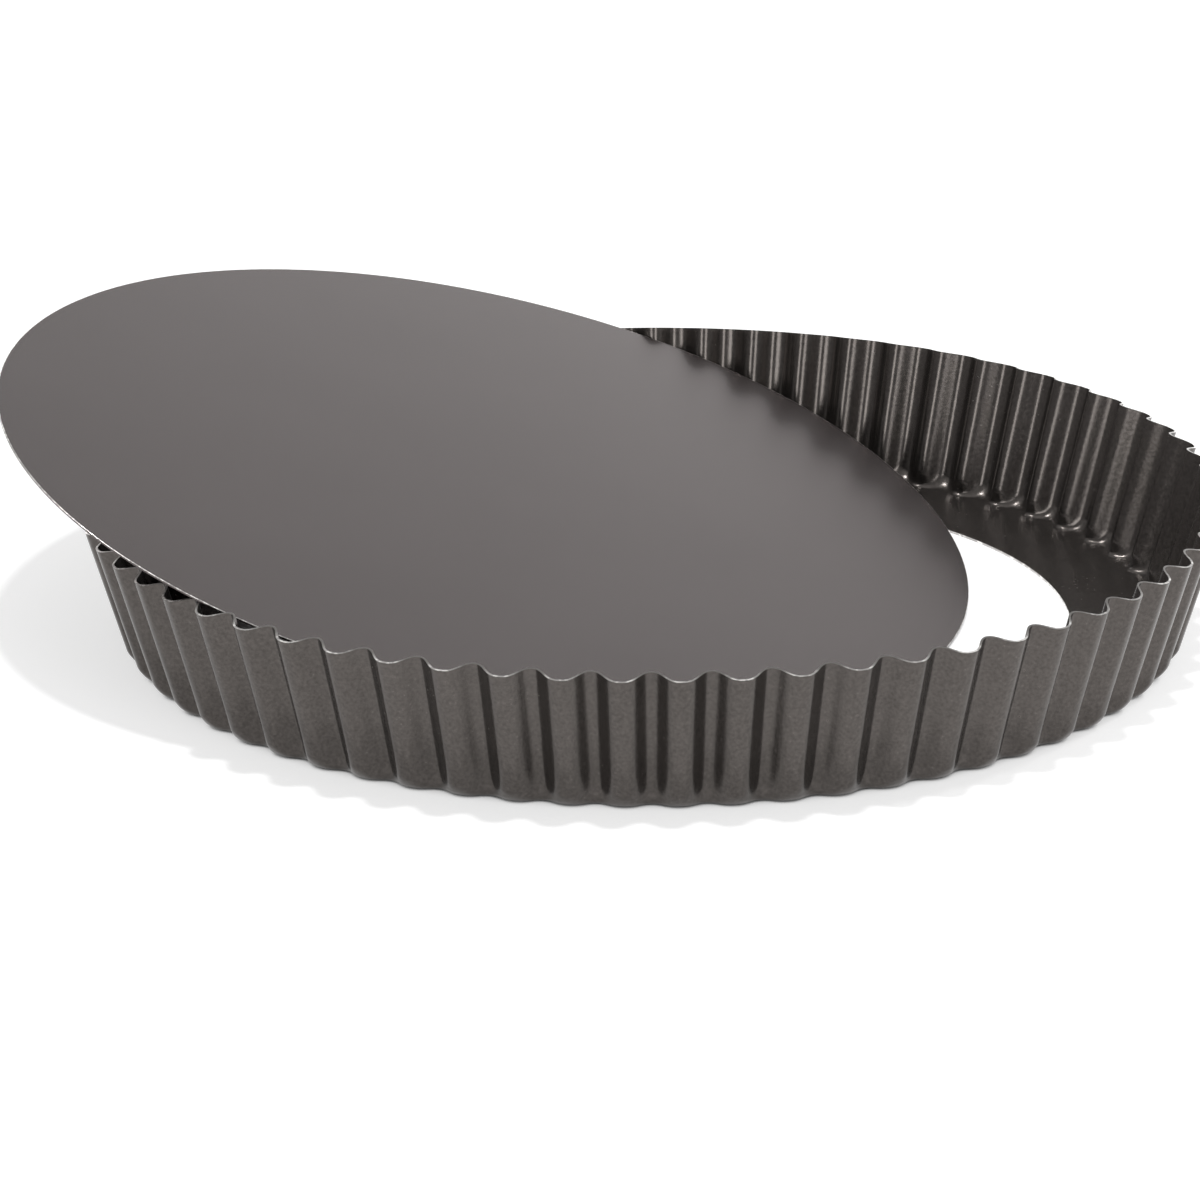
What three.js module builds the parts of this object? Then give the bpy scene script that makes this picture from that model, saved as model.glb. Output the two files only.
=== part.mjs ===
// Quiche pan with a loose base. A fluted ring with a narrow ledge at its foot is pressed from one sheet. The
// flat round base that lies on the ledge has been lifted out and leans in the ring. Millimetres, +Z up,
// standing on z = 0, with the origin under the middle of the whole outline and the base leaning up towards -X.

import * as THREE from 'three';

// Ring
const RIM_DIAMETER = 280;               // over the outward flutes, at the rim
const HEIGHT = 35;                      // table to the middle of the rim's wave
const SHEET = 0.5;                      // thickness of the pressed sheet
const WALL_LEAN = THREE.MathUtils.degToRad(16.5);    // of the wall, outwards from upright
const LEDGE_HOLE_DIAMETER = 206;        // the opening that the base covers
const BEND_RADIUS = 2.6;                // inside the bend from ledge to wall

// Flutes
const FLUTE_COUNT = 64;
const FLUTE_DEPTH = 4;                  // outward crest to inward groove, square to the leaning wall
const FLUTE_FOOT_DEPTH = 1.8;           // the same, level, where the wall rises from the ledge
const FLUTE_RUNOUT = 4.5;               // height from which the flutes have their full depth
const GROOVE_PINCH = 0.084;             // share of second harmonic, for narrow grooves and broad crests
const FLANK_STEEPNESS = 0.045;          // share of third harmonic, for flatter crests and steeper flanks

// Loose base
const BASE_SHEET = 0.6;                 // thickness of the base
const BASE_CLEARANCE = 1.6;             // from the base's edge to the bend at the grooves, all round
const LEAN_INSET = 28.3;                // from the ledge's hole in to the low edge of the leaning base
const SEAT_GAP = 0.3;                   // left between the leaning base and what it rests on

// Facets
const COLUMNS_PER_FLUTE = 6;
const BASE_SIDES = 180;

const COATING_RING = new THREE.MeshStandardMaterial({ color: 0x55514e, metalness: 0.6, roughness: 0.42 });
const COATING_BASE = new THREE.MeshStandardMaterial({ color: 0x726e6b, metalness: 0.6, roughness: 0.48 });

// The middle of the ring's sheet, without its flutes
const HALF_SHEET = SHEET / 2;
const HALF_DEPTH = FLUTE_DEPTH / 2;
const holeRadius = LEDGE_HOLE_DIAMETER / 2;
const crestReach = HALF_SHEET + HALF_DEPTH * (1 - GROOVE_PINCH);
const rimRadius = RIM_DIAMETER / 2 - crestReach * Math.cos(WALL_LEAN);
const cornerRadius = rimRadius - (HEIGHT - HALF_SHEET) * Math.tan(WALL_LEAN);
const bendTurn = Math.PI / 2 - WALL_LEAN;
const bendRadius = BEND_RADIUS + HALF_SHEET;
const bendTangent = bendRadius * Math.tan(bendTurn / 2);
const bendStartRadius = cornerRadius - bendTangent;
const bendEndRadius = cornerRadius + bendTangent * Math.sin(WALL_LEAN);
const bendEndHeight = HALF_SHEET + bendTangent * Math.cos(WALL_LEAN);

// The base drops in past the grooves and lies flat on the ledge, short of the bend
const ledgeFlatRadius = bendStartRadius - (FLUTE_FOOT_DEPTH / 2) * (1 + GROOVE_PINCH);
const baseRadius = ledgeFlatRadius - BASE_CLEARANCE;
const leanFoot = holeRadius - LEAN_INSET;

// Stations run along the sheet from the ledge's hole to the rim: ledge 0 to 1, bend 1 to 2, wall 2 to 3
const LEDGE_END = 1;
const BEND_END = 2;
const RIM = 3;
const runoutStation = BEND_END + (FLUTE_RUNOUT - bendEndHeight) / (HEIGHT - bendEndHeight);
const STATIONS = [
  0,
  LEDGE_END,
  (LEDGE_END + BEND_END) / 2,
  BEND_END,
  (BEND_END + runoutStation) / 2,
  runoutStation,
  RIM,
];

const COLUMNS = FLUTE_COUNT * COLUMNS_PER_FLUTE;
const COLUMN_ANGLE = (2 * Math.PI) / COLUMNS;

// One turn of the wave is one flute, with a groove at angle 0.
function fluteWave(angle) {
  const turn = FLUTE_COUNT * angle;
  const steep = (Math.cos(turn) - FLANK_STEEPNESS * Math.cos(3 * turn)) / (1 - FLANK_STEEPNESS);
  return -steep - GROOVE_PINCH * Math.cos(2 * turn);
}

// Radius, height, flute depth and flute lean of the sheet's middle at a station. The flutes stand level at the
// ledge and square to the wall from the run-out up, so that the rim, cut square, dips at each crest.
function profile(station) {
  const { lerp, smoothstep } = THREE.MathUtils;
  if (station <= LEDGE_END) {
    return {
      radius: lerp(holeRadius, bendStartRadius, station),
      height: HALF_SHEET,
      depth: FLUTE_FOOT_DEPTH * station,
      lean: 0,
    };
  }
  let radius = 0;
  let height = 0;
  if (station <= BEND_END) {
    const turned = bendTurn * (station - LEDGE_END);
    radius = bendStartRadius + bendRadius * Math.sin(turned);
    height = HALF_SHEET + bendRadius * (1 - Math.cos(turned));
  } else {
    radius = lerp(bendEndRadius, rimRadius, station - BEND_END);
    height = lerp(bendEndHeight, HEIGHT, station - BEND_END);
  }
  const risen = smoothstep(height, HALF_SHEET, FLUTE_RUNOUT);
  return { radius, height, depth: lerp(FLUTE_FOOT_DEPTH, FLUTE_DEPTH, risen), lean: WALL_LEAN * risen };
}

function middleOfSheet(station, angle) {
  const { radius, height, depth, lean } = profile(station);
  const push = (depth / 2) * fluteWave(angle);
  const reach = radius + push * Math.cos(lean);
  return new THREE.Vector3(reach * Math.cos(angle), reach * Math.sin(angle), height - push * Math.sin(lean));
}

// A point on a face of the sheet, square to its middle, so that the flanks are as thick as the crests.
// A positive offset is the inner, upper face.
function faceOfSheet(station, angle, offset) {
  const STEP = 1e-4;
  const along = middleOfSheet(station + STEP, angle).sub(middleOfSheet(station - STEP, angle));
  const around = middleOfSheet(station, angle + STEP).sub(middleOfSheet(station, angle - STEP));
  const inwards = along.clone().cross(around).normalize();
  return middleOfSheet(station, angle).addScaledVector(inwards, offset);
}

// The ring is one closed sweep round the axis: up the outer face from the hole to the rim, and back down the
// inner face. Both faces share the direction of their diagonals, mirrored about each crest and groove.
function makeRing() {
  const outer = STATIONS.map((station) => ({ station, offset: -HALF_SHEET }));
  const inner = STATIONS.map((station) => ({ station, offset: HALF_SHEET })).reverse();
  const rows = [...outer, ...inner];

  const positions = [];
  for (const { station, offset } of rows) {
    for (let column = 0; column < COLUMNS; column += 1) {
      positions.push(...faceOfSheet(station, column * COLUMN_ANGLE, offset).toArray());
    }
  }

  const index = [];
  for (let row = 0; row < rows.length; row += 1) {
    const nextRow = (row + 1) % rows.length;
    const onInnerFace = row >= outer.length;
    for (let column = 0; column < COLUMNS; column += 1) {
      const nextColumn = (column + 1) % COLUMNS;
      const a = row * COLUMNS + column;
      const b = row * COLUMNS + nextColumn;
      const c = nextRow * COLUMNS + nextColumn;
      const d = nextRow * COLUMNS + column;
      const towardsCrest = column % COLUMNS_PER_FLUTE < COLUMNS_PER_FLUTE / 2;
      if (onInnerFace === towardsCrest) {
        index.push(a, b, d, b, c, d);
      } else {
        index.push(a, b, c, a, c, d);
      }
    }
  }

  const geometry = new THREE.BufferGeometry();
  geometry.setAttribute('position', new THREE.Float32BufferAttribute(positions, 3));
  geometry.setIndex(index);
  geometry.computeVertexNormals();
  const ring = new THREE.Mesh(geometry, COATING_RING);
  ring.name = 'fluted_ring';
  return ring;
}

// Straight lines up both faces of the wall, close enough together to find where the base comes nearest.
function wallLines() {
  const STEPS = 6;
  const lines = [];
  for (const offset of [-HALF_SHEET, HALF_SHEET]) {
    for (let column = 0; column < COLUMNS; column += 1) {
      const [foot, rim, nextFoot, nextRim] = [column, column + 1].flatMap((place) => [
        faceOfSheet(runoutStation, place * COLUMN_ANGLE, offset),
        faceOfSheet(RIM, place * COLUMN_ANGLE, offset),
      ]);
      for (let step = 0; step < STEPS; step += 1) {
        lines.push(new THREE.Line3(
          foot.clone().lerp(nextFoot, step / STEPS),
          rim.clone().lerp(nextRim, step / STEPS),
        ));
      }
    }
  }
  return lines;
}

// Centre of the underside when the base is tilted and its low edge stands just clear of the table.
function leaningCentre(tilt) {
  return new THREE.Vector3(
    leanFoot - baseRadius * Math.cos(tilt),
    0,
    SEAT_GAP + baseRadius * Math.sin(tilt),
  );
}

// Whether the tilted base clears the wall: each line up the wall either stays below the underside, or passes
// it outside the base's edge.
function clearsWall(tilt, lines) {
  const up = new THREE.Vector3(Math.sin(tilt), 0, Math.cos(tilt));
  const seat = leaningCentre(tilt).addScaledVector(up, -SEAT_GAP);
  const plane = new THREE.Plane().setFromNormalAndCoplanarPoint(up, seat);
  const crossing = new THREE.Vector3();
  return lines.every((line) => {
    if (plane.distanceToPoint(line.end) <= 0) {
      return true;
    }
    if (plane.distanceToPoint(line.start) > 0) {
      return line.start.distanceTo(seat) >= baseRadius + SEAT_GAP;
    }
    plane.intersectLine(line, crossing);
    return crossing.distanceTo(seat) >= baseRadius + SEAT_GAP;
  });
}

// The least tilt at which the base comes to rest on the wall, found by halving.
function leaningTilt() {
  const STEEPEST = Math.PI / 3;
  const HALVINGS = 30;
  const lines = wallLines();
  let low = 0;
  let high = STEEPEST;
  for (let halving = 0; halving < HALVINGS; halving += 1) {
    const tilt = (low + high) / 2;
    if (clearsWall(tilt, lines)) {
      high = tilt;
    } else {
      low = tilt;
    }
  }
  return high;
}

function makeBase() {
  const geometry = new THREE.CylinderGeometry(baseRadius, baseRadius, BASE_SHEET, BASE_SIDES);
  geometry.rotateX(Math.PI / 2);
  geometry.translate(0, 0, BASE_SHEET / 2);
  const base = new THREE.Mesh(geometry, COATING_BASE);
  base.name = 'loose_base';
  const tilt = leaningTilt();
  base.position.copy(leaningCentre(tilt));
  base.rotation.y = tilt;
  return base;
}

const pan = new THREE.Group();
pan.add(makeRing(), makeBase());

const outline = new THREE.Box3().setFromObject(pan, true);
const middle = outline.getCenter(new THREE.Vector3());
pan.position.set(-middle.x, -middle.y, -outline.min.z);

export default pan;
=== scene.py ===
# %% [markdown]
# # A fluted quiche pan with its loose base leaning in it
# The pan is two pressings of dark coated steel: a fluted ring with a narrow ledge turned in at its foot,
# and a flat round base that drops in and lies on that ledge. Here the base has been lifted out and leans
# in the ring. The measured model is loaded first as a fixed frame, and all that follows takes its place
# from it.

# %% Load the frame
import math

import bmesh
import bpy
from mathutils import Matrix, Vector


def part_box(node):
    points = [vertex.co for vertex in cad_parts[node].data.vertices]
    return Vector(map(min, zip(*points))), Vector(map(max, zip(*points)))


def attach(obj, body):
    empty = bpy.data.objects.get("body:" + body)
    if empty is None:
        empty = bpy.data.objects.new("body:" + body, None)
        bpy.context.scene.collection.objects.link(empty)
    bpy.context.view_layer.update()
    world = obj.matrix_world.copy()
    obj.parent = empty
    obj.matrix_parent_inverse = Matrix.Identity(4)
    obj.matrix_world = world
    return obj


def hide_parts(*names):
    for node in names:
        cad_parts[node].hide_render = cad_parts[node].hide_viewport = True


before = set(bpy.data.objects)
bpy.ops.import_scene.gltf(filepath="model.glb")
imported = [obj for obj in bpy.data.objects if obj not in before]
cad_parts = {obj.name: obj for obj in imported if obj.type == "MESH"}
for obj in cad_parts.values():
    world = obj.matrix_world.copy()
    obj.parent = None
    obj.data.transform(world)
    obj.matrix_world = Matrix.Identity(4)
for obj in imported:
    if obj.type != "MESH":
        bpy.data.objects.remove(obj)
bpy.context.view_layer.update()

SCENE = bpy.context.scene
SCENE.view_settings.view_transform = "Standard"
MM = 0.001

# %% [markdown]
# ## Sizes
# The ring is driven by the sizes that a press tool would be cut from: the rim, the height, the lean of
# the wall, the bend above the ledge, and the flutes. They could be measured off the frame's mesh, but
# named sizes can be read and changed. Only the places are read off the frame. The ring is the same on all
# four sides, so its axis is in the middle of its box. The base is symmetric about its own middle, so the
# middle of its box is its centre, and the box's width and height give its tilt.

# %% Sizes of the ring and the place of the base
RING_LOW, RING_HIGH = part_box("fluted_ring")
BASE_LOW, BASE_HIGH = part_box("loose_base")

RIM_RADIUS = 140 * MM
HEIGHT = 35 * MM
SHEET = 0.5 * MM
WALL_LEAN = math.radians(16.5)
HOLE_RADIUS = 103 * MM
BEND_RADIUS = 2.6 * MM
FLUTE_COUNT = 64
FLUTE_DEPTH = 4 * MM
FLUTE_FOOT_DEPTH = 1.8 * MM
FLUTE_RUNOUT = 4.5 * MM
GROOVE_PINCH = 0.084
FLANK_STEEPNESS = 0.045
BASE_SHEET = 0.6 * MM

RING_AXIS = (RING_LOW.x + RING_HIGH.x) / 2
BASE_RADIUS = BASE_HIGH.y
BASE_CENTRE = (BASE_LOW + BASE_HIGH) / 2


def tilt_from_box(low, high, radius, thickness):
    """Tilt about Y of a disc whose upright box is known."""
    half_x = (high.x - low.x) / 2
    half_z = (high.z - low.z) / 2
    half_t = thickness / 2
    return math.atan2(radius * half_z - half_t * half_x, radius * half_x - half_t * half_z)


BASE_TILT = tilt_from_box(BASE_LOW, BASE_HIGH, BASE_RADIUS, BASE_SHEET)
print("ring axis at x", round(RING_AXIS / MM, 2), "mm, base radius", round(BASE_RADIUS / MM, 2), "mm")
print("base tilt", round(math.degrees(BASE_TILT), 2), "degrees")

# %% [markdown]
# ## The camera
# The view has a long lens, 19 degrees above the table. It looks at the lean from the side, turned 23
# degrees towards the base's low edge. A camera could be moved by eye until things look right, but the
# outlines of the rim, the hole and the base fix it much better, so these numbers come from fitting them.
# A long lens keeps the rim nearly as wide at the back as at the front, so the distance matters as much as
# the angle.

# %% Camera
VIEW_AZIMUTH = math.radians(23.21)
VIEW_ELEVATION = math.radians(19.09)
VIEW_ROLL = math.radians(-0.32)
VIEW_DISTANCE = 1373 * MM
AIM_LEFT_OF_AXIS = 13.02 * MM
AIM_UP = 5.19 * MM
FOCAL_PIXELS = 5560
PICTURE_PIXELS = 1200
SENSOR_MM = 36
CLIP_NEAR = 0.05
CLIP_FAR = 50


def make_camera():
    """A camera that looks at a point beside the ring's axis, measured in the picture's own plane."""
    back = Vector((
        math.sin(VIEW_AZIMUTH) * math.cos(VIEW_ELEVATION),
        -math.cos(VIEW_AZIMUTH) * math.cos(VIEW_ELEVATION),
        math.sin(VIEW_ELEVATION),
    ))
    turn = (-back).to_track_quat("-Z", "Y").to_matrix()
    right = turn @ Vector((1, 0, 0))
    up = turn @ Vector((0, 1, 0))
    aim = Vector((RING_AXIS, 0, 0)) - right * AIM_LEFT_OF_AXIS + up * AIM_UP
    data = bpy.data.cameras.new("pan_view")
    data.sensor_width = SENSOR_MM
    data.lens = FOCAL_PIXELS / PICTURE_PIXELS * SENSOR_MM
    data.clip_start = CLIP_NEAR
    data.clip_end = CLIP_FAR
    camera = bpy.data.objects.new("pan_view", data)
    SCENE.collection.objects.link(camera)
    roll = Matrix.Rotation(VIEW_ROLL, 3, "Z")
    camera.matrix_world = Matrix.Translation(aim + back * VIEW_DISTANCE) @ (turn @ roll).to_4x4()
    SCENE.camera = camera
    return camera


CAMERA = make_camera()
print("lens", round(CAMERA.data.lens, 1), "mm at", [round(v, 3) for v in CAMERA.location])

# %% [markdown]
# ## Small helpers for node trees
# Materials and shapes are both made of nodes here. Each node could be added and wired by hand, but the
# same few lines would come back again and again. These helpers add a node, join sockets and set values,
# so that each tree below reads as a list of what it does.


# %% Node helpers
def add_node(tree, kind, label="", **settings):
    """A new node with its settings made, such as operation or data type."""
    node = tree.nodes.new(kind)
    if label:
        node.label = label
    for name, value in settings.items():
        setattr(node, name, value)
    return node


def wire(tree, source, target):
    """Joins an output socket to an input socket, or sets the input if the source is a plain value."""
    if isinstance(source, bpy.types.NodeSocket):
        tree.links.new(source, target)
    else:
        target.default_value = source


def maths(tree, operation, *values):
    """One Math node on sockets or numbers, giving its output."""
    node = add_node(tree, "ShaderNodeMath", operation=operation)
    for place, value in enumerate(values):
        wire(tree, value, node.inputs[place])
    return node.outputs[0]


def mapped(tree, value, low, high, to_low, to_high, interpolation="LINEAR"):
    """Map Range on sockets or numbers."""
    node = add_node(tree, "ShaderNodeMapRange", interpolation_type=interpolation)
    for name, given in (
        ("Value", value), ("From Min", low), ("From Max", high), ("To Min", to_low), ("To Max", to_high),
    ):
        wire(tree, given, node.inputs[name])
    return node.outputs["Result"]


def group_inputs(tree, **kinds):
    """Named inputs of a tree, and the node that gives them."""
    for name, kind in kinds.items():
        tree.interface.new_socket(name.replace("_", " "), in_out="INPUT", socket_type="NodeSocket" + kind)
    return tree.nodes.new("NodeGroupInput")


print("helpers", [helper.__name__ for helper in (add_node, wire, maths, mapped, group_inputs)])


# %% [markdown]
# ## The coating
# Both pieces wear a baked non-stick coating: dark warm grey, satin, with metal flakes fine enough to show
# as grain. A flat dark paint with some gloss would be simpler, but flakes make the coating shine like a
# metal, which is why the sides of the flutes go dark where they mirror each other. So the shader is
# mostly metallic. The flakes and a soft cloudiness are one node group, which each material uses with its
# own values. The flat base is smoother than the pressed ring.


# %% Coating grain group
NOISE_MIDDLE = 0.5


def make_grain_group():
    """Fine flakes and soft clouds: a colour, a roughness and a height that change over the surface."""
    tree = bpy.data.node_groups.new("coating_grain", "ShaderNodeTree")
    given = group_inputs(
        tree, Dark="Color", Light="Color", Flake_size="Float", Cloud_size="Float",
        Flake_share="Float", Roughness="Float", Roughness_spread="Float",
    )
    for name, kind in (("Colour", "Color"), ("Roughness", "Float"), ("Height", "Float")):
        tree.interface.new_socket(name, in_out="OUTPUT", socket_type="NodeSocket" + kind)
    place = add_node(tree, "ShaderNodeTexCoord").outputs["Object"]

    flakes = add_node(tree, "ShaderNodeTexNoise", "flakes", noise_dimensions="3D")
    wire(tree, place, flakes.inputs["Vector"])
    wire(tree, maths(tree, "DIVIDE", 1.0, given.outputs["Flake size"]), flakes.inputs["Scale"])
    flakes.inputs["Detail"].default_value = 2.0

    clouds = add_node(tree, "ShaderNodeTexNoise", "clouds", noise_dimensions="3D")
    wire(tree, place, clouds.inputs["Vector"])
    wire(tree, maths(tree, "DIVIDE", 1.0, given.outputs["Cloud size"]), clouds.inputs["Scale"])
    clouds.inputs["Detail"].default_value = 3.0

    share = given.outputs["Flake share"]
    from_flakes = maths(tree, "MULTIPLY", flakes.outputs["Fac"], share)
    from_clouds = maths(tree, "MULTIPLY", clouds.outputs["Fac"], maths(tree, "SUBTRACT", 1.0, share))
    blend = maths(tree, "ADD", from_flakes, from_clouds)

    colour = add_node(tree, "ShaderNodeMix", data_type="RGBA")
    wire(tree, blend, colour.inputs["Factor"])
    wire(tree, given.outputs["Dark"], colour.inputs["A"])
    wire(tree, given.outputs["Light"], colour.inputs["B"])

    swing = maths(tree, "SUBTRACT", blend, NOISE_MIDDLE)
    spread = given.outputs["Roughness spread"]
    rough = maths(tree, "MULTIPLY_ADD", swing, spread, given.outputs["Roughness"])

    result = tree.nodes.new("NodeGroupOutput")
    wire(tree, colour.outputs["Result"], result.inputs["Colour"])
    wire(tree, rough, result.inputs["Roughness"])
    wire(tree, flakes.outputs["Fac"], result.inputs["Height"])
    return tree


GRAIN = make_grain_group()
print("group", GRAIN.name, "with", len(GRAIN.nodes), "nodes")


# %% The two coatings
CLOUD_SIZE = 45 * MM
FLAKE_SHARE = 0.75
FLAKE_HEIGHT = 0.02 * MM


def new_material(name):
    """A material with nodes, its tree and its shader."""
    material = bpy.data.materials.new(name)
    material.use_nodes = True
    tree = material.node_tree
    return material, tree, tree.nodes["Principled BSDF"]


def place_grain(tree, **values):
    """The grain group in a material, with the material's own values."""
    grain = add_node(tree, "ShaderNodeGroup", "grain", node_tree=GRAIN)
    for name, value in values.items():
        grain.inputs[name.replace("_", " ")].default_value = value
    return grain


def make_coating(name, dark, light, roughness, roughness_spread, flake_size, flake_relief, metal_share):
    """Satin non-stick coating with fine metal flakes."""
    material, tree, shader = new_material(name)
    shader.inputs["Metallic"].default_value = metal_share
    grain = place_grain(
        tree, Dark=(*dark, 1), Light=(*light, 1), Flake_size=flake_size, Cloud_size=CLOUD_SIZE,
        Flake_share=FLAKE_SHARE, Roughness=roughness, Roughness_spread=roughness_spread,
    )
    wire(tree, grain.outputs["Colour"], shader.inputs["Base Color"])
    wire(tree, grain.outputs["Roughness"], shader.inputs["Roughness"])

    bump = add_node(tree, "ShaderNodeBump", "flake relief")
    bump.inputs["Strength"].default_value = flake_relief
    bump.inputs["Distance"].default_value = FLAKE_HEIGHT
    wire(tree, grain.outputs["Height"], bump.inputs["Height"])
    wire(tree, bump.outputs["Normal"], shader.inputs["Normal"])
    return material


RING_COATING = make_coating(
    "ring_coating", dark=(0.036, 0.032, 0.029), light=(0.156, 0.140, 0.131), roughness=0.24,
    roughness_spread=0.16, flake_size=0.8 * MM, flake_relief=1.0, metal_share=0.82,
)
BASE_COATING = make_coating(
    "base_coating", dark=(0.098, 0.083, 0.081), light=(0.142, 0.121, 0.119), roughness=0.26,
    roughness_spread=0.05, flake_size=0.45 * MM, flake_relief=0.1, metal_share=0.9,
)
print("coatings", RING_COATING.name, BASE_COATING.name)

# %% [markdown]
# ## Worn cut edges, with painted glints on the rim
# Where the sheet was cut, the coating has rubbed off and bare steel shows as a fine bright line. On the
# rim the steel is kept bright only in the low places, as a painted highlight for where light glints on
# the edge, and on the base only the upper corner has it. The line could be a thin wire laid along the
# edge, but it is the sheet itself, so the faces of the cut get a material of their own. Noise breaks the
# steel into flecks, and on the rim the height above the table darkens the higher parts of the edge, which
# keeps the painted highlight in the low places.

# %% The worn edges and painted rim glints
FLECKS_FROM = 0.48
FLECKS_FULL = 0.60
BRIGHT_STEEL = (1.0, 0.98, 0.95)


def make_cut_edge(name):
    """Bare steel where the sheet was trimmed, with brighter flecks along the cut."""
    material, tree, shader = new_material(name)
    shader.inputs["Metallic"].default_value = 1.0
    grain = place_grain(
        tree, Dark=(0.26, 0.25, 0.24, 1), Light=(0.80, 0.78, 0.76, 1), Flake_size=1.6 * MM,
        Cloud_size=7 * MM, Flake_share=0.4, Roughness=0.35, Roughness_spread=0.2,
    )
    flecks = mapped(tree, grain.outputs["Height"], FLECKS_FROM, FLECKS_FULL, 0.0, 1.0, "SMOOTHSTEP")
    colour = add_node(tree, "ShaderNodeMix", "bright flecks", data_type="RGBA")
    wire(tree, flecks, colour.inputs["Factor"])
    wire(tree, grain.outputs["Colour"], colour.inputs["A"])
    colour.inputs["B"].default_value = (*BRIGHT_STEEL, 1)
    wire(tree, colour.outputs["Result"], shader.inputs["Base Color"])
    wire(tree, grain.outputs["Roughness"], shader.inputs["Roughness"])
    return material


def darken_above_painted_glints(material, glints_up_to, dimmed_from, coated):
    """Darkens the higher parts of a cut edge, so that the bright steel stays only in the low places as a
    painted highlight.
    """
    tree = material.node_tree
    place = add_node(tree, "ShaderNodeTexCoord").outputs["Object"]
    parts = add_node(tree, "ShaderNodeSeparateXYZ")
    wire(tree, place, parts.inputs["Vector"])
    # Painted highlight: the edge is dimmed above this height, so its bright low places stand in for glints
    # of light.
    dimmed_share = mapped(tree, parts.outputs["Z"], glints_up_to, dimmed_from, 0.0, 1.0, "SMOOTHSTEP")
    colour = add_node(tree, "ShaderNodeMix", "dimmed above painted glints", data_type="RGBA")
    wire(tree, dimmed_share, colour.inputs["Factor"])
    base_colour = tree.nodes["Principled BSDF"].inputs["Base Color"]
    wire(tree, base_colour.links[0].from_socket, colour.inputs["A"])
    colour.inputs["B"].default_value = (*coated, 1)
    wire(tree, colour.outputs["Result"], base_colour)


# The rim's worn edge also carries a painted highlight: bright steel only in its low places, dimmed higher
# up.
RIM_EDGE = make_cut_edge("worn_rim_edge_with_painted_glints")
darken_above_painted_glints(
    RIM_EDGE, glints_up_to=HEIGHT - 0.5 * MM, dimmed_from=HEIGHT + 0.3 * MM, coated=(0.24, 0.23, 0.22),
)
BASE_EDGE = make_cut_edge("bare_base_edge")
print("edges", RIM_EDGE.name, BASE_EDGE.name)

# %% [markdown]
# ## The fluted ring
# The ring is one sheet whose shape follows a rule: a section of ledge, bend and wall is swept round the
# axis, and every point is pushed out or in by a wave. It could be modelled as one flute and copied round,
# but then another depth or number of flutes means modelling it again. So a Geometry Nodes tree sweeps the
# section along a circle and then sets each point's place by the rule. The wave is a cosine with a little
# of its second harmonic, which makes the grooves narrower than the crests, and of its third, which
# flattens the crests and steepens the flanks. It is shallow and level at the ledge, and has its full
# depth a few millimetres up, where it stands square to the leaning wall. That is why the rim dips a
# little at every crest.

# %% Section of the ring, along the middle of the sheet
HALF_SHEET = SHEET / 2
CREST_REACH = HALF_SHEET + FLUTE_DEPTH / 2 * (1 - GROOVE_PINCH)
RIM_MIDDLE = RIM_RADIUS - CREST_REACH * math.cos(WALL_LEAN)
CORNER = RIM_MIDDLE - (HEIGHT - HALF_SHEET) * math.tan(WALL_LEAN)
BEND_SWEEP = math.pi / 2 - WALL_LEAN
BEND_MIDDLE = BEND_RADIUS + HALF_SHEET
BEND_TANGENT = BEND_MIDDLE * math.tan(BEND_SWEEP / 2)
BEND_START = CORNER - BEND_TANGENT


def wall_point(height):
    """Radius and height on the straight wall, as a point of the section."""
    return Vector((CORNER + (height - HALF_SHEET) * math.tan(WALL_LEAN), height, 0))


WALL_FOOT = wall_point(HALF_SHEET + BEND_TANGENT * math.cos(WALL_LEAN))
RUNOUT_POINT = wall_point(FLUTE_RUNOUT)
RIM_POINT = wall_point(HEIGHT)
print("wall runs from radius", round(WALL_FOOT.x / MM, 2), "to", round(RIM_POINT.x / MM, 2), "mm")


# %% Curves of the section
LEDGE_POINTS = 4
BEND_POINTS = 9
RUNOUT_POINTS = 7
WALL_POINTS = 7


def section_line(tree, start, end, points):
    """A straight stretch of the section with a number of points."""
    line = add_node(tree, "GeometryNodeCurvePrimitiveLine")
    wire(tree, start, line.inputs["Start"])
    wire(tree, end, line.inputs["End"])
    spread = add_node(tree, "GeometryNodeResampleCurve")
    wire(tree, line.outputs["Curve"], spread.inputs["Curve"])
    spread.inputs["Count"].default_value = points
    return spread.outputs["Curve"]


def point_of(tree, x, y):
    """A point of the section from its radius and height."""
    node = add_node(tree, "ShaderNodeCombineXYZ")
    wire(tree, x, node.inputs["X"])
    wire(tree, y, node.inputs["Y"])
    return node.outputs["Vector"]


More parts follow.
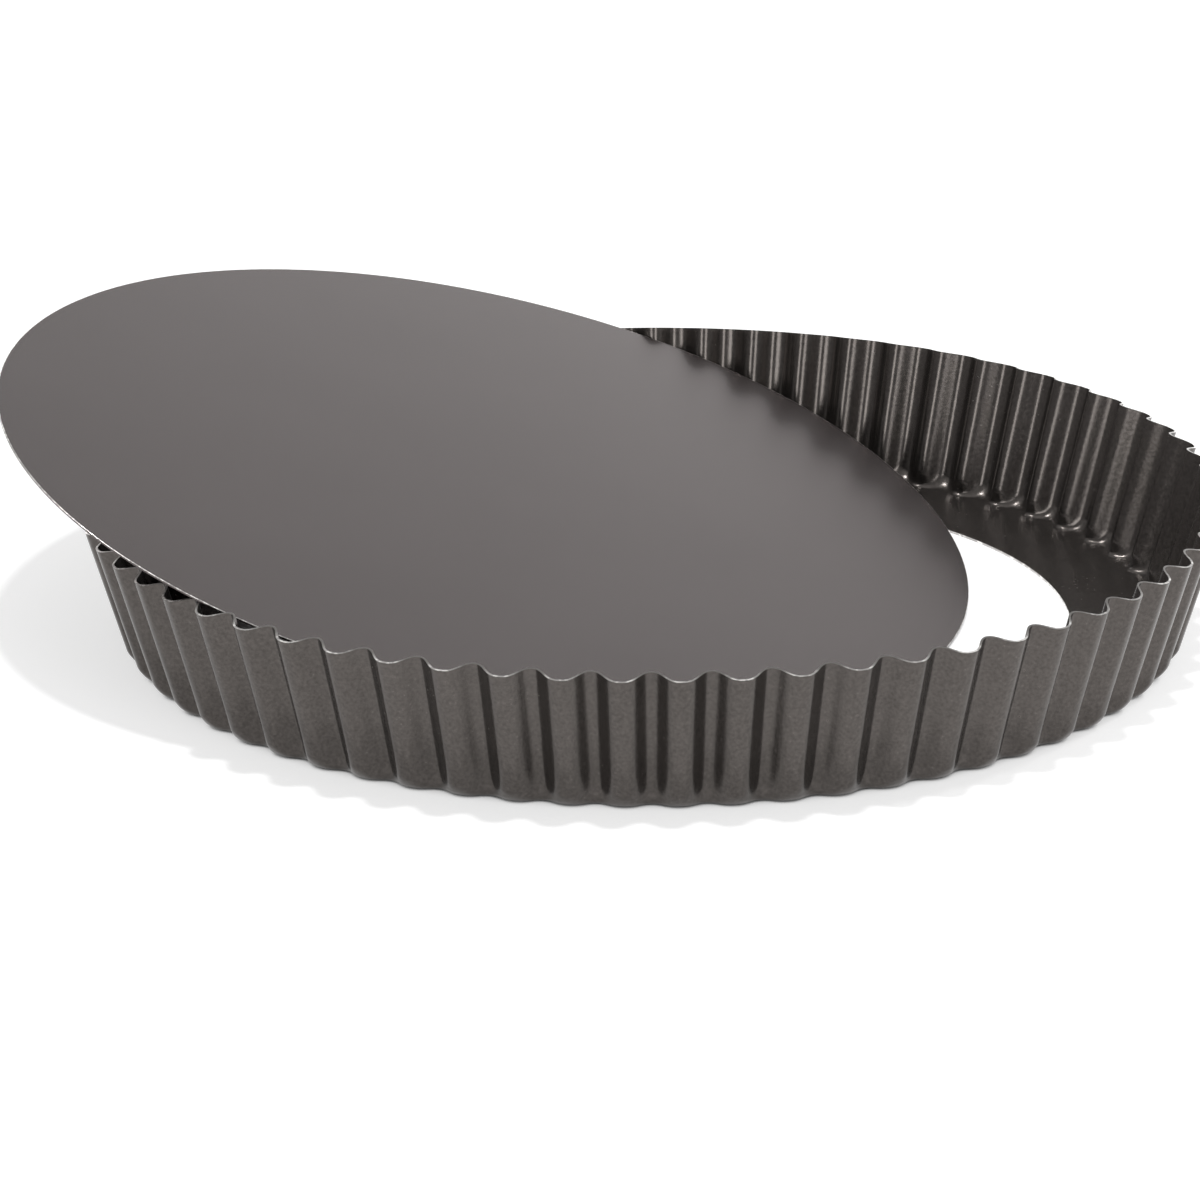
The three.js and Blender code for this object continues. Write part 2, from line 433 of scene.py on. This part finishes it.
def ring_section(tree, given):
    """Ledge, bend, run-out and wall as curves, with radius along X and height along Y."""
    ledge_height = given["Ledge height"]
    bend_start = point_of(tree, given["Bend start"], ledge_height)
    centre_height = maths(tree, "ADD", ledge_height, given["Bend radius"])
    bend_centre = point_of(tree, given["Bend start"], centre_height)

    bend = add_node(tree, "GeometryNodeCurveArc")
    bend.inputs["Resolution"].default_value = BEND_POINTS
    wire(tree, given["Bend radius"], bend.inputs["Radius"])
    bend.inputs["Start Angle"].default_value = -math.pi / 2
    wire(tree, given["Bend sweep"], bend.inputs["Sweep Angle"])
    placed = add_node(tree, "GeometryNodeTransform")
    wire(tree, bend.outputs["Curve"], placed.inputs["Geometry"])
    wire(tree, bend_centre, placed.inputs["Translation"])

    joined = add_node(tree, "GeometryNodeJoinGeometry")
    hole_edge = point_of(tree, given["Hole radius"], ledge_height)
    for stretch in (
        section_line(tree, hole_edge, bend_start, LEDGE_POINTS),
        placed.outputs["Geometry"],
        section_line(tree, given["Wall foot"], given["Runout point"], RUNOUT_POINTS),
        section_line(tree, given["Runout point"], given["Rim point"], WALL_POINTS),
    ):
        wire(tree, stretch, joined.inputs["Geometry"])
    return joined.outputs["Geometry"]


SECTION_POINTS = LEDGE_POINTS + BEND_POINTS + RUNOUT_POINTS + WALL_POINTS
print("section of four stretches with", SECTION_POINTS, "points")


# %% Geometry Nodes tree of the ring
WELD_DISTANCE = 0.01 * MM


def captured(tree, geometry, value, kind):
    """Keeps a value on the points of a curve, and gives the curve and the kept value."""
    node = add_node(tree, "GeometryNodeCaptureAttribute", domain="POINT")
    node.capture_items.new(kind, "kept")
    wire(tree, geometry, node.inputs["Geometry"])
    wire(tree, value, node.inputs["kept"])
    return node.outputs["Geometry"], node.outputs["kept"]


def flute_wave(tree, given, angle):
    """How far each point is pushed in by the wave, from about 1 in a groove to about -1 on a crest."""
    phase = maths(tree, "MULTIPLY", angle, given["Flutes"])
    second = maths(tree, "COSINE", maths(tree, "MULTIPLY", phase, 2.0))
    pinched = maths(tree, "MULTIPLY", second, given["Groove pinch"])
    third = maths(tree, "COSINE", maths(tree, "MULTIPLY", phase, 3.0))
    eased = maths(tree, "MULTIPLY", third, given["Flank steepness"])
    steep = maths(tree, "SUBTRACT", maths(tree, "COSINE", phase), eased)
    evened = maths(tree, "DIVIDE", steep, maths(tree, "SUBTRACT", 1.0, given["Flank steepness"]))
    return maths(tree, "ADD", evened, pinched)


def make_ring_tree():
    """Sweeps the section round a circle and waves every point in or out."""
    tree = bpy.data.node_groups.new("fluted_sheet", "GeometryNodeTree")
    source = group_inputs(
        tree, Axis_x="Float", Hole_radius="Float", Ledge_height="Float", Bend_start="Float",
        Bend_radius="Float", Bend_sweep="Float", Wall_foot="Vector", Runout_point="Vector",
        Rim_point="Vector", Runout_height="Float", Wall_lean="Float", Flutes="Int", Columns="Int",
        Flute_depth="Float", Foot_depth="Float", Groove_pinch="Float", Flank_steepness="Float",
        Coating="Material",
    )
    tree.interface.new_socket("Geometry", in_out="OUTPUT", socket_type="NodeSocketGeometry")
    given = source.outputs

    circle = add_node(tree, "GeometryNodeCurvePrimitiveCircle")
    wire(tree, given["Columns"], circle.inputs["Resolution"])
    along = add_node(tree, "GeometryNodeSplineParameter").outputs["Factor"]
    rail, turn_share = captured(tree, circle.outputs["Curve"], along, "FLOAT")
    place = add_node(tree, "GeometryNodeInputPosition").outputs["Position"]
    section, section_place = captured(tree, ring_section(tree, given), place, "VECTOR")

    sweep = add_node(tree, "GeometryNodeCurveToMesh")
    wire(tree, rail, sweep.inputs["Curve"])
    wire(tree, section, sweep.inputs["Profile Curve"])

    parts = add_node(tree, "ShaderNodeSeparateXYZ")
    wire(tree, section_place, parts.inputs["Vector"])
    radius = parts.outputs["X"]
    height = parts.outputs["Y"]

    angle = maths(tree, "MULTIPLY", turn_share, 2 * math.pi)
    inward = flute_wave(tree, given, angle)

    risen = mapped(tree, height, given["Ledge height"], given["Runout height"], 0.0, 1.0, "SMOOTHSTEP")
    on_ledge = mapped(tree, radius, given["Hole radius"], given["Bend start"], 0.0, 1.0)
    depth = mapped(tree, risen, 0.0, 1.0, given["Foot depth"], given["Flute depth"])
    half_depth = maths(tree, "MULTIPLY", maths(tree, "MULTIPLY", depth, on_ledge), -0.5)
    push = maths(tree, "MULTIPLY", half_depth, inward)
    lean = maths(tree, "MULTIPLY", given["Wall lean"], risen)
    reach = maths(tree, "MULTIPLY_ADD", push, maths(tree, "COSINE", lean), radius)
    sunk = maths(tree, "MULTIPLY", push, maths(tree, "SINE", lean))

    spot = add_node(tree, "ShaderNodeCombineXYZ")
    across = maths(tree, "MULTIPLY", reach, maths(tree, "COSINE", angle))
    wire(tree, maths(tree, "ADD", across, given["Axis x"]), spot.inputs["X"])
    wire(tree, maths(tree, "MULTIPLY", reach, maths(tree, "SINE", angle)), spot.inputs["Y"])
    wire(tree, maths(tree, "SUBTRACT", height, sunk), spot.inputs["Z"])

    moved = add_node(tree, "GeometryNodeSetPosition")
    wire(tree, sweep.outputs["Mesh"], moved.inputs["Geometry"])
    wire(tree, spot.outputs["Vector"], moved.inputs["Position"])
    welded = add_node(tree, "GeometryNodeMergeByDistance")
    wire(tree, moved.outputs["Geometry"], welded.inputs["Geometry"])
    welded.inputs["Distance"].default_value = WELD_DISTANCE

    realized = add_node(tree, "GeometryNodeRealizeInstances")
    wire(tree, welded.outputs["Geometry"], realized.inputs["Geometry"])
    coated = add_node(tree, "GeometryNodeSetMaterial")
    wire(tree, realized.outputs["Geometry"], coated.inputs["Geometry"])
    wire(tree, given["Coating"], coated.inputs["Material"])
    result = tree.nodes.new("NodeGroupOutput")
    wire(tree, coated.outputs["Geometry"], result.inputs["Geometry"])
    return tree


RING_TREE = make_ring_tree()
print("tree", RING_TREE.name, "with", len(RING_TREE.nodes), "nodes")

# %% [markdown]
# ## The ring as a plain mesh
# A modifier's inputs are set by each socket's identifier. The tree could stay live on the object, but
# plain meshes are wanted, so its result is frozen. The sheet then gets its thickness with Solidify, half
# to each side, so that the ledge lies exactly where the frame has it. Solidify gives the cut faces the
# second material, the worn edge with its painted glints in the low places of the rim.


# %% The ring's mesh
def frozen(thing):
    """The evaluated mesh of an object as a plain mesh, with its modifiers gone."""
    graph = bpy.context.evaluated_depsgraph_get()
    mesh = bpy.data.meshes.new_from_object(thing.evaluated_get(graph))
    thing.modifiers.clear()
    old = thing.data
    thing.data = mesh
    bpy.data.meshes.remove(old)
    return mesh


def tree_piece(name, tree, values):
    """An object whose mesh comes from a Geometry Nodes tree with named inputs."""
    thing = bpy.data.objects.new(name, bpy.data.meshes.new(name))
    SCENE.collection.objects.link(thing)
    modifier = thing.modifiers.new(tree.name, "NODES")
    modifier.node_group = tree
    for item in tree.interface.items_tree:
        if item.in_out == "INPUT":
            modifier[item.identifier] = values[item.name]
    frozen(thing)
    return thing


COLUMNS_PER_FLUTE = 24
RING_CREASE = math.radians(50)
RING = tree_piece("ring_sheet", RING_TREE, {
    "Axis x": RING_AXIS,
    "Hole radius": HOLE_RADIUS,
    "Ledge height": HALF_SHEET,
    "Bend start": BEND_START,
    "Bend radius": BEND_MIDDLE,
    "Bend sweep": BEND_SWEEP,
    "Wall foot": WALL_FOOT,
    "Runout point": RUNOUT_POINT,
    "Rim point": RIM_POINT,
    "Runout height": FLUTE_RUNOUT,
    "Wall lean": WALL_LEAN,
    "Flutes": FLUTE_COUNT,
    "Columns": FLUTE_COUNT * COLUMNS_PER_FLUTE,
    "Flute depth": FLUTE_DEPTH,
    "Foot depth": FLUTE_FOOT_DEPTH,
    "Groove pinch": GROOVE_PINCH,
    "Flank steepness": FLANK_STEEPNESS,
    "Coating": RING_COATING,
})


def give_thickness(thing, thickness, edge_material):
    """Turns a sheet's middle into a closed shell whose cut edges have their own material."""
    thing.data.materials.append(edge_material)
    wall = thing.modifiers.new("sheet", "SOLIDIFY")
    wall.thickness = thickness
    wall.offset = 0
    wall.use_even_offset = True
    wall.material_offset_rim = 1
    frozen(thing)


give_thickness(RING, SHEET, RIM_EDGE)
RING.data.shade_smooth()
RING.data.set_sharp_from_angle(angle=RING_CREASE)
print("ring", len(RING.data.polygons), "faces, height", round(RING.dimensions.z / MM, 2), "mm")

# %% [markdown]
# ## The loose base
# The base is a flat round blank, cut from sheet. A plain cylinder has knife-sharp corners that catch no
# light, so a short section is turned round the axis: two faces, and an edge whose corners are very
# slightly rounded, as a blanking tool leaves them. The rings of faces between the middle and the edge
# keep the triangles well shaped. The disc is made level and is then tilted into its place, with the tilt
# put into its mesh.

# %% The base's mesh
EDGE_ROUNDING = 0.18 * MM
CORNER_STEPS = 3
BASE_SIDES = 360
BASE_RINGS = 10
BASE_CREASE = math.radians(10)


def base_section():
    """Radius and height of the base's outline from the middle of the top to the middle of the underside."""
    half = BASE_SHEET / 2
    flat = BASE_RADIUS - EDGE_ROUNDING
    top = [(flat * ring / BASE_RINGS, half) for ring in range(BASE_RINGS + 1)]
    corner = []
    for step in range(1, CORNER_STEPS + 1):
        angle = step / CORNER_STEPS * math.pi / 2
        outwards = EDGE_ROUNDING * math.sin(angle)
        down = EDGE_ROUNDING * (1 - math.cos(angle))
        corner.append((flat + outwards, half - down))
    upper = top + corner
    lower = [(radius, -height) for radius, height in reversed(upper)]
    return upper + lower


def turned(name, section, sides):
    """A closed mesh from a section turned about Z."""
    bm = bmesh.new()
    loops = []
    for radius, height in section:
        if radius == 0:
            loops.append([bm.verts.new((0, 0, height))])
            continue
        angles = [2 * math.pi * side / sides for side in range(sides)]
        places = [(radius * math.cos(angle), radius * math.sin(angle), height) for angle in angles]
        loops.append([bm.verts.new(place) for place in places])
    for loop, after in zip(loops, loops[1:]):
        for side in range(sides):
            following = (side + 1) % sides
            if len(loop) == 1:
                bm.faces.new((loop[0], after[side], after[following]))
            elif len(after) == 1:
                bm.faces.new((loop[side], after[0], loop[following]))
            else:
                bm.faces.new((loop[side], after[side], after[following], loop[following]))
    mesh = bpy.data.meshes.new(name)
    bm.to_mesh(mesh)
    bm.free()
    return mesh


def make_base():
    """The base, leaning as the frame has it, with bare steel along its upper corner."""
    mesh = turned("base_disc", base_section(), BASE_SIDES)
    mesh.materials.append(BASE_COATING)
    mesh.materials.append(BASE_EDGE)
    for face in mesh.polygons:
        on_edge = math.hypot(face.center.x, face.center.y) > BASE_RADIUS - EDGE_ROUNDING
        if on_edge and face.center.z > BASE_SHEET / 2 - EDGE_ROUNDING:
            face.material_index = 1
    mesh.transform(Matrix.Translation(BASE_CENTRE) @ Matrix.Rotation(BASE_TILT, 4, "Y"))
    mesh.shade_smooth()
    mesh.set_sharp_from_angle(angle=BASE_CREASE)
    base = bpy.data.objects.new("base_disc", mesh)
    SCENE.collection.objects.link(base)
    return base


BASE = make_base()
print("base", len(BASE.data.polygons), "faces")

# %% [markdown]
# ## Where the pieces ride
# Each piece stands for its measured solid and moves with that solid's body, so that lifting the base in
# the frame lifts the base here. The pieces could be keyed by hand for each pose, but naming the body
# keeps them in step at every pose.

# %% Bodies and finishes
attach(RING, "ring")
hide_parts("fluted_ring")
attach(BASE, "base")
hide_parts("loose_base")
print("pieces ride on ring and base")

# %% [markdown]
# ## The floor
# The pan stands on a plain white sweep. A white floor under enough light would do, but so much light
# would bleach the pan too. So the floor is a mid grey that glows a little for camera, glossy and
# transmission rays: it reads as white and still keeps the pan's shadow. Where the floor is closed in, as
# under the base, Ambient Occlusion takes the glow away, so that the gaps there stay dark.

# %% Floor
FLOOR_HALF = 8.0
FLOOR_DROP = 0.05 * MM
FLOOR_GREY = 0.5
FLOOR_GLOW = 0.60
SHELTER_REACH = 0.3
CLOSED_IN = 0.05
OPEN = 0.30


def make_floor():
    """A wide floor that reads as white to the camera and keeps soft shadows."""
    material, tree, shader = new_material("white_sweep")
    shader.inputs["Base Color"].default_value = (FLOOR_GREY, FLOOR_GREY, FLOOR_GREY, 1)
    shader.inputs["Roughness"].default_value = 0.9
    shader.inputs["Specular IOR Level"].default_value = 0.1
    glow = add_node(tree, "ShaderNodeEmission")
    path = add_node(tree, "ShaderNodeLightPath")
    seen = maths(tree, "MAXIMUM", path.outputs["Is Camera Ray"], path.outputs["Is Glossy Ray"])
    seen = maths(tree, "MAXIMUM", seen, path.outputs["Is Transmission Ray"])
    shelter = add_node(tree, "ShaderNodeAmbientOcclusion")
    shelter.inputs["Distance"].default_value = SHELTER_REACH
    opening = mapped(tree, shelter.outputs["AO"], CLOSED_IN, OPEN, 0.0, FLOOR_GLOW, "SMOOTHSTEP")
    wire(tree, maths(tree, "MULTIPLY", seen, opening), glow.inputs["Strength"])
    both = add_node(tree, "ShaderNodeAddShader")
    wire(tree, shader.outputs["BSDF"], both.inputs[0])
    wire(tree, glow.outputs["Emission"], both.inputs[1])
    wire(tree, both.outputs["Shader"], tree.nodes["Material Output"].inputs["Surface"])

    mesh = bpy.data.meshes.new("floor")
    signs = [(-1, -1), (1, -1), (1, 1), (-1, 1)]
    corners = [(x * FLOOR_HALF, y * FLOOR_HALF, -FLOOR_DROP) for x, y in signs]
    mesh.from_pydata(corners, [], [(0, 1, 2, 3)])
    mesh.materials.append(material)
    floor = bpy.data.objects.new("floor", mesh)
    SCENE.collection.objects.link(floor)
    return floor


FLOOR = make_floor()
print(FLOOR.name, "of", 2 * FLOOR_HALF, "m")

# %% [markdown]
# ## Surroundings
# A dark shiny thing shows mostly what it mirrors, so the light is planned as surroundings. An even sky
# would be simpler, but it leaves the base flat. The base mirrors what is low behind the pan: a lit
# backdrop that ends about 22 degrees up, with a dim room above it. This gives the slope of light across
# the base, and the soft dark band along its far edge, where the ring's wall hides the backdrop. The
# outside of the wall mirrors the floor. Its inside mirrors the front of the room, which is dim, and the
# sides, which are paler on the right.

# %% Surroundings
TO_CAMERA = Vector((math.sin(VIEW_AZIMUTH), -math.cos(VIEW_AZIMUTH), 0))
TO_RIGHT = Vector((math.cos(VIEW_AZIMUTH), math.sin(VIEW_AZIMUTH), 0))
BACKDROP = 2.42
BACKDROP_TOP = math.radians(22.4)
BACKDROP_FADE = math.radians(1.5)
ABOVE_BACKDROP = 0.39
LEFT_SIDE = 0.45
RIGHT_SIDE = 1.3
IN_FRONT = 0.34
OVERHEAD = 0.7

# Where one part of the room passes into the next, as a share to the right, to the camera or up
LEFT_TO_RIGHT = (-0.11, 0.49)
SIDES_TO_FRONT = (-0.3, 0.6)
SIDES_TO_BACK = (-0.6, -0.85)
WALLS_TO_CEILING = (0.5, 0.95)


def share_along(tree, direction, axis):
    """How far a direction points along an axis, from -1 to 1."""
    node = add_node(tree, "ShaderNodeVectorMath", operation="DOT_PRODUCT")
    wire(tree, direction, node.inputs[0])
    node.inputs[1].default_value = axis
    return node.outputs["Value"]


def levelled(tree, direction):
    """A direction laid flat, with length 1."""
    flat = add_node(tree, "ShaderNodeVectorMath", operation="MULTIPLY")
    wire(tree, direction, flat.inputs[0])
    flat.inputs[1].default_value = (1, 1, 0)
    unit = add_node(tree, "ShaderNodeVectorMath", operation="NORMALIZE")
    wire(tree, flat.outputs["Vector"], unit.inputs[0])
    return unit.outputs["Vector"]


def make_world():
    """A lit backdrop low behind the pan, a dim room round the camera and a paler ceiling."""
    world = bpy.data.worlds.new("studio_room")
    world.use_nodes = True
    SCENE.world = world
    tree = world.node_tree
    direction = add_node(tree, "ShaderNodeTexCoord").outputs["Generated"]
    parts = add_node(tree, "ShaderNodeSeparateXYZ")
    wire(tree, direction, parts.inputs["Vector"])
    height = parts.outputs["Z"]
    level = levelled(tree, direction)
    facing = share_along(tree, level, TO_CAMERA)
    sideways = share_along(tree, level, TO_RIGHT)

    sides = mapped(tree, sideways, *LEFT_TO_RIGHT, LEFT_SIDE, RIGHT_SIDE, "SMOOTHSTEP")
    room = mapped(tree, facing, *SIDES_TO_FRONT, sides, IN_FRONT, "SMOOTHSTEP")
    fade = [math.sin(BACKDROP_TOP - BACKDROP_FADE), math.sin(BACKDROP_TOP + BACKDROP_FADE)]
    backdrop = mapped(tree, height, *fade, BACKDROP, ABOVE_BACKDROP, "SMOOTHSTEP")
    at_back = mapped(tree, facing, *SIDES_TO_BACK, 0.0, 1.0, "SMOOTHSTEP")
    around = mapped(tree, at_back, 0.0, 1.0, room, backdrop)
    overhead = mapped(tree, height, *WALLS_TO_CEILING, 0.0, 1.0, "SMOOTHSTEP")
    strength = mapped(tree, overhead, 0.0, 1.0, around, OVERHEAD)
    wire(tree, strength, tree.nodes["Background"].inputs["Strength"])
    tree.nodes["Background"].inputs["Color"].default_value = (1, 1, 1, 1)
    return world


WORLD = make_world()
print("world", WORLD.name, "with", len(WORLD.node_tree.nodes), "nodes")

# %% [markdown]
# ## Lamps
# Surroundings alone, or one large lamp, give no crisp shadow and no narrow streaks, so five lamps add
# them. A small key almost straight above casts the scalloped shadow. It is kept out of reflections,
# because from above it would burn the ledge white. Two soft boxes beside the camera draw the pairs of
# streaks inside the flutes. A small box on the right deepens the shadow on the left. A small lamp on the
# left shows in reflections only, and puts the sparks on the bends at the foot of the wall.

# %% Lamps
UP = Vector((0, 0, 1))
KEY_POWER = 1.5
KEY_WIDTH = math.radians(4)
SHADOW_TO_LEFT = 0.067
SHADOW_TO_CAMERA = 0.019
BOX_DISTANCE = 1.5


def aimed(light, towards):
    """Turns a light so that it shines along a direction."""
    light.rotation_mode = "QUATERNION"
    light.rotation_quaternion = towards.to_track_quat("-Z", "Y")


def make_lamp(name, kind, power):
    """A lamp of a kind, linked to the scene."""
    data = bpy.data.lights.new(name, kind)
    data.energy = power
    lamp = bpy.data.objects.new(name, data)
    SCENE.collection.objects.link(lamp)
    return lamp


def make_key():
    """A small bright lamp almost straight above: its shadow is the rim's own outline on the floor."""
    key = make_lamp("overhead_key", "SUN", KEY_POWER)
    key.data.angle = KEY_WIDTH
    key.visible_glossy = False
    aimed(key, TO_CAMERA * SHADOW_TO_CAMERA - TO_RIGHT * SHADOW_TO_LEFT - UP)
    return key


def make_soft_box(name, azimuth, elevation, width, power):
    """A square soft box turned to the pan, at degrees round from the camera and above the table."""
    round_by = math.radians(azimuth)
    raised_by = math.radians(elevation)
    outward = TO_CAMERA * math.cos(round_by) + TO_RIGHT * math.sin(round_by)
    place = (outward * math.cos(raised_by) + UP * math.sin(raised_by)) * BOX_DISTANCE
    box = make_lamp(name, "AREA", power)
    box.data.shape = "SQUARE"
    box.data.size = width
    box.location = place
    aimed(box, -place)
    return box


KEY = make_key()
LEFT_BOX = make_soft_box("left_soft_box", azimuth=-25, elevation=18, width=0.5, power=3.5)
RIGHT_BOX = make_soft_box("right_soft_box", azimuth=30, elevation=18, width=0.5, power=3.5)
SIDE_BOX = make_soft_box("side_soft_box", azimuth=105, elevation=54, width=0.12, power=3.0)
SPARK_LAMP = make_soft_box("spark_lamp", azimuth=-105, elevation=54, width=0.09, power=5.5)
SPARK_LAMP.visible_diffuse = False
for lamp in (KEY, LEFT_BOX, RIGHT_BOX, SIDE_BOX, SPARK_LAMP):
    print(lamp.name, lamp.data.type, lamp.data.energy)
